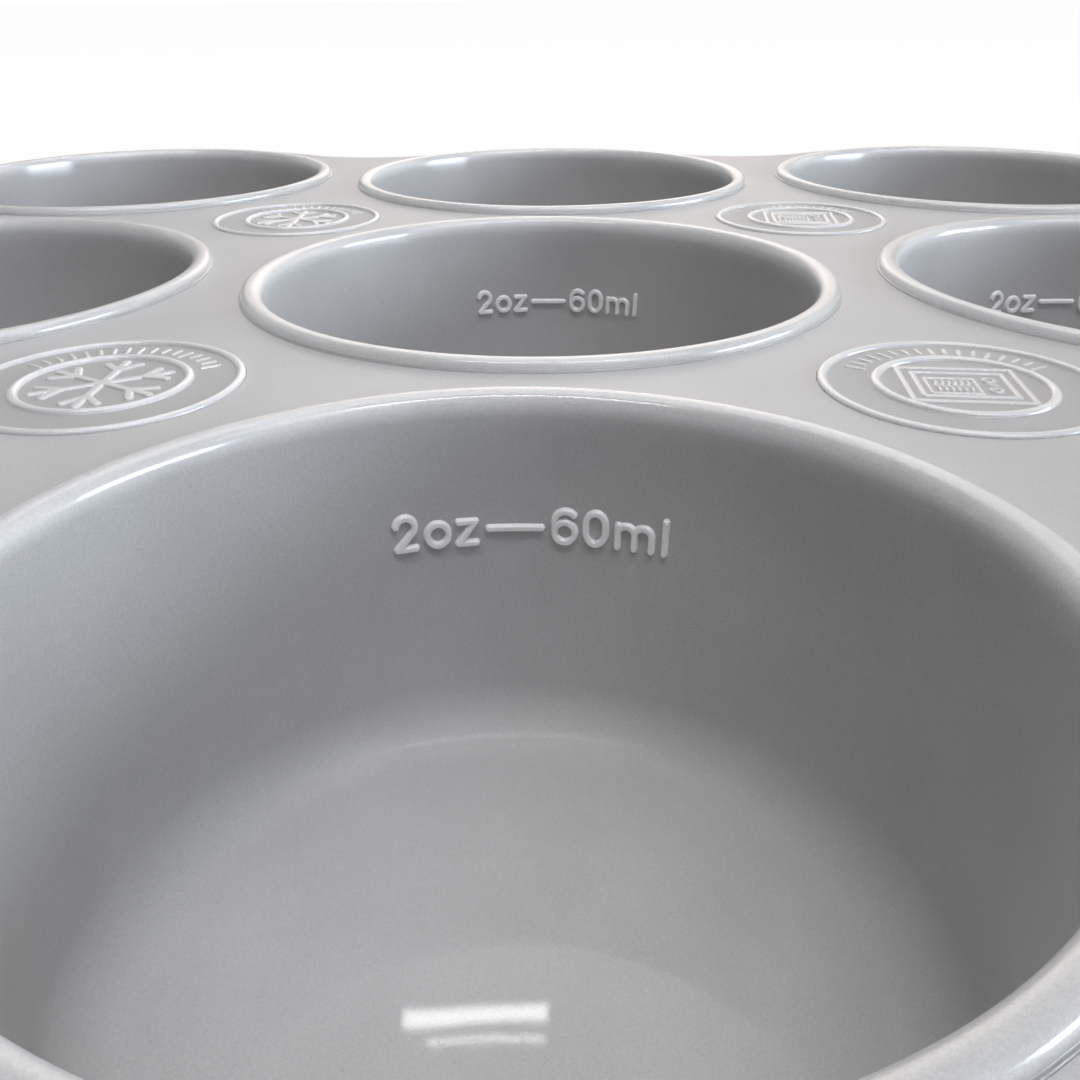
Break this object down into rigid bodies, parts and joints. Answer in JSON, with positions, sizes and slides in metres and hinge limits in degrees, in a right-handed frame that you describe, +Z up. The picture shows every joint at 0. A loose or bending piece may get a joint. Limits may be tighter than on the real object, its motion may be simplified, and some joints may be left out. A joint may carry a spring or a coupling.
{
  "type": "baby food freezer tray",
  "caption": "Flexible tray with round lipped cups in a flat scalloped deck, for freezing small food portions.",
  "frame": {"origin": "middle of the footprint, on the surface that the cups stand on, under the axis of the centre cup", "axes": "+Z up, out of the cups' mouths; -Y towards the front edge, from where the volume marks are read; +X to the right as seen from the front"},
  "size_m": [0.2356, 0.2356, 0.0347],
  "materials": {
    "silicone": "satin"
  },
  "bodies": {
    "root": {"deck": "silicone", "cup_front_left": "silicone", "cup_front_centre": "silicone", "cup_front_right": "silicone", "cup_middle_left": "silicone", "cup_middle_centre": "silicone", "cup_middle_right": "silicone", "cup_back_left": "silicone", "cup_back_centre": "silicone", "cup_back_right": "silicone", "badge_front_left": "silicone", "badge_front_right": "silicone", "badge_back_left": "silicone", "badge_back_right": "silicone"}
  },
  "joints": []
}
